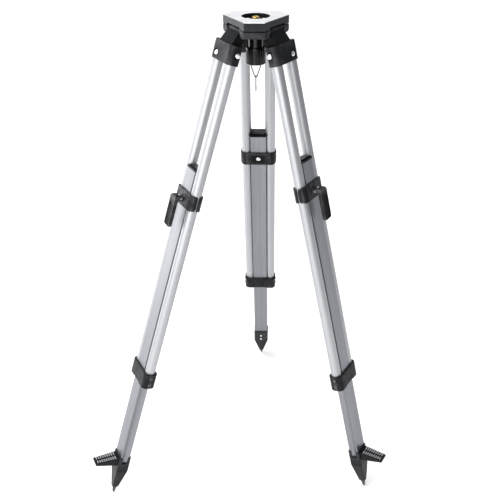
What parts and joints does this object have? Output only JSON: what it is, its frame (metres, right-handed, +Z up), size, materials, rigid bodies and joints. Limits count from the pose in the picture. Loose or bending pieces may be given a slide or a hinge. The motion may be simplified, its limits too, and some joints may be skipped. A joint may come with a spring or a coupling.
{
  "type": "surveying tripod",
  "caption": "Surveying tripod with a flat triangular head, a hanging centring screw and telescopic twin-tube legs with cam-lever clamps and pedal feet.",
  "frame": {"origin": "centre of the hole in the head's flat top face", "axes": "+Z up, square to the head; the back leg is at +Y and the corner between the two front legs at -Y"},
  "size_m": [0.7963, 0.7302, 1.2552],
  "materials": {
    "head_casting": "black powder coat with a bare machined top face",
    "black_casting": "fine textured black powder coat",
    "black_plastic": "lightly textured moulding",
    "tube_aluminium": "silver anodised extrusion",
    "leg_aluminium": "satin silver anodised extrusion",
    "steel": "bright zinc plated",
    "dark_steel": "blackened",
    "bright_wire": "drawn wire",
    "brass": "turned"
  },
  "bodies": {
    "head": {"head_plate": "head_casting", "hinge_caps": "black_casting", "cap_screws": "dark_steel", "hinge_pins": "steel", "arm_pivot": "dark_steel"},
    "arm": {"swing_arm": "dark_steel"},
    "bush": {"screw_bush": "brass"},
    "washer": {"thrust_washer": "steel"},
    "screw": {"centring_screw": "brass", "knob": "black_plastic"},
    "bail": {"bail": "bright_wire"},
    "hook": {"plumb_hook": "bright_wire"},
    "back_upper": {"back_shoulder": "black_casting", "back_shoulder_screws": "steel", "back_tubes": "tube_aluminium", "back_collar": "black_plastic", "back_collar_rivets": "dark_steel"},
    "back_lower": {"back_inner_leg": "leg_aluminium", "back_leg_guide": "black_plastic", "back_clamp_inner_plate": "black_plastic", "back_clamp_outer_plate": "black_plastic", "back_clamp_bolt": "steel", "back_lever_pin": "steel", "back_shoe": "black_casting", "back_shoe_rivets": "steel", "back_spike": "dark_steel"},
    "back_lever": {"back_lever": "black_plastic"},
    "left_upper": {"left_shoulder": "black_casting", "left_shoulder_screws": "steel", "left_tubes": "tube_aluminium", "left_collar": "black_plastic", "left_collar_rivets": "dark_steel"},
    "left_lower": {"left_inner_leg": "leg_aluminium", "left_leg_guide": "black_plastic", "left_clamp_inner_plate": "black_plastic", "left_clamp_outer_plate": "black_plastic", "left_clamp_bolt": "steel", "left_lever_pin": "steel", "left_shoe": "black_casting", "left_shoe_rivets": "steel", "left_spike": "dark_steel"},
    "left_lever": {"left_lever": "black_plastic"},
    "right_upper": {"right_shoulder": "black_casting", "right_shoulder_screws": "steel", "right_tubes": "tube_aluminium", "right_collar": "black_plastic", "right_collar_rivets": "dark_steel"},
    "right_lower": {"right_inner_leg": "leg_aluminium", "right_leg_guide": "black_plastic", "right_clamp_inner_plate": "black_plastic", "right_clamp_outer_plate": "black_plastic", "right_clamp_bolt": "steel", "right_lever_pin": "steel", "right_shoe": "black_casting", "right_shoe_rivets": "steel", "right_spike": "dark_steel"},
    "right_lever": {"right_lever": "black_plastic"}
  },
  "joints": [
    {"name": "back_spread", "type": "hinge", "parent": "head", "child": "back_upper", "pos_m": [0, 0.044, -0.025], "axis": [1, 0, 0], "range_deg": [-16.8, 23.2]},
    {"name": "back_extend", "type": "slide", "parent": "back_upper", "child": "back_lower", "axis": [0, 0.289, -0.9573], "range_m": [-0.2288, 0.4512]},
    {"name": "back_lever_cam", "type": "hinge", "parent": "back_lower", "child": "back_lever", "pos_m": [0, 0.19543, -0.39164], "axis": [1, 0, 0], "range_deg": [0, 90]},
    {"name": "left_spread", "type": "hinge", "parent": "head", "child": "left_upper", "pos_m": [-0.0381, -0.022, -0.025], "axis": [-0.5, 0.866, 0], "range_deg": [-18, 22]},
    {"name": "left_extend", "type": "slide", "parent": "left_upper", "child": "left_lower", "axis": [-0.2676, -0.1545, -0.9511], "range_m": [-0.2375, 0.4425]},
    {"name": "left_lever_cam", "type": "hinge", "parent": "left_lower", "child": "left_lever", "pos_m": [-0.17822, -0.10289, -0.39672], "axis": [-0.5, 0.866, 0], "range_deg": [0, 90]},
    {"name": "right_spread", "type": "hinge", "parent": "head", "child": "right_upper", "pos_m": [0.0381, -0.022, -0.025], "axis": [-0.5, -0.866, 0], "range_deg": [-13.8, 26.2]},
    {"name": "right_extend", "type": "slide", "parent": "right_upper", "child": "right_lower", "axis": [0.2066, -0.1193, -0.9711], "range_m": [-0.2098, 0.4702]},
    {"name": "right_lever_cam", "type": "hinge", "parent": "right_lower", "child": "right_lever", "pos_m": [0.14853, -0.08575, -0.3806], "axis": [-0.5, -0.866, 0], "range_deg": [0, 90]},
    {"name": "arm_swing", "type": "hinge", "parent": "head", "child": "arm", "pos_m": [0, -0.04, -0.009], "axis": [0, 0, 1], "range_deg": [-14, 14]},
    {"name": "bush_slide", "type": "slide", "parent": "arm", "child": "bush", "axis": [0, 1, 0], "range_m": [-0.011, 0.011]},
    {"name": "screw_lift", "type": "slide", "parent": "bush", "child": "washer", "axis": [0, 0, 1], "range_m": [0, 0.012]},
    {"name": "screw_spin", "type": "hinge", "parent": "washer", "child": "screw", "pos_m": [0, 0, -0.04], "axis": [0, 0, 1], "continuous": true},
    {"name": "bail_swing", "type": "hinge", "parent": "screw", "child": "bail", "pos_m": [0, 0, -0.0995], "axis": [1, 0, 0], "range_deg": [-12, 12]},
    {"name": "hook_swing", "type": "hinge", "parent": "bail", "child": "hook", "pos_m": [0, 0, -0.136], "axis": [1, 0, 0], "range_deg": [-12, 12]}
  ]
}
